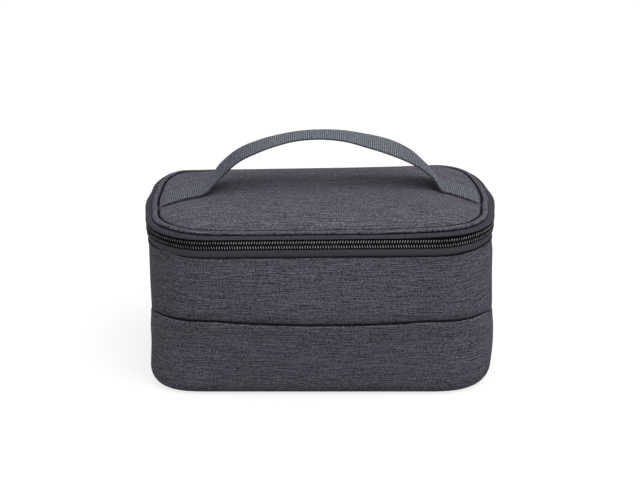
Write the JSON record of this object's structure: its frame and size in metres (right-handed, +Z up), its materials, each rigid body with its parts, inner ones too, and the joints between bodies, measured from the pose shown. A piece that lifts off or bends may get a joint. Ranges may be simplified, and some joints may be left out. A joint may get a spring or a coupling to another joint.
{
  "type": "insulated lunch bag",
  "caption": "Soft padded lunch box bag with a domed lid hinged at the back, a zip round its rim, a slip pocket across the front and an arched webbing carry handle on top.",
  "frame": {"origin": "middle of the flat base, on the table the bag stands on", "axes": "+Z up, +X to the right across the long side for someone facing the front, front with the pocket towards -Y"},
  "size_m": [0.2314, 0.1369, 0.1585],
  "materials": {
    "melange_fabric": "matte",
    "foam": "matte",
    "liner": "satin",
    "tape": "matte",
    "coil": "satin",
    "webbing": "matte",
    "slider_metal": "satin"
  },
  "bodies": {
    "bag_body": {"outer_wall": "melange_fabric", "front_pocket": "melange_fabric", "base_panel": "melange_fabric", "wall_foam": "foam", "base_foam": "foam", "liner_tub": "liner", "body_binding": "tape", "zip_tape_body": "tape", "zip_coil_body": "coil", "hinge_strip": "melange_fabric"},
    "lid": {"lid_panel": "melange_fabric", "lid_border": "melange_fabric", "lid_foam": "foam", "lid_liner": "liner", "lid_binding": "tape", "zip_tape_lid": "tape", "zip_coil_lid": "coil", "handle_end_left": "webbing", "handle_end_right": "webbing", "handle_root_left": "webbing", "handle_root_right": "webbing"},
    "handle": {"handle_grip": "webbing"},
    "slider": {"slider_face": "slider_metal", "slider_back": "slider_metal"},
    "pull": {"slider_pull": "slider_metal"}
  },
  "joints": [
    {"name": "lid_hinge", "type": "hinge", "parent": "bag_body", "child": "lid", "pos_m": [0, 0.0662, 0.106], "axis": [-1, 0, 0], "range_deg": [0, 120], "deforming": ["hinge_strip"]},
    {"name": "handle_swing", "type": "hinge", "parent": "lid", "child": "handle", "pos_m": [0, 0, 0.1297], "axis": [1, 0, 0], "range_deg": [-65, 65], "stiffness_Nm_per_rad": 0.02, "deforming": ["handle_root_left", "handle_root_right"]},
    {"name": "slider_travel", "type": "hinge", "parent": "bag_body", "child": "slider", "pos_m": [0.0725, 0.025, 0.106], "axis": [0, 0, 1], "range_deg": [-40, 0]},
    {"name": "pull_swing", "type": "hinge", "parent": "slider", "child": "pull", "pos_m": [0.10368, 0.05963, 0.1042], "axis": [0.7431, -0.6691, 0], "range_deg": [0, 120]}
  ]
}
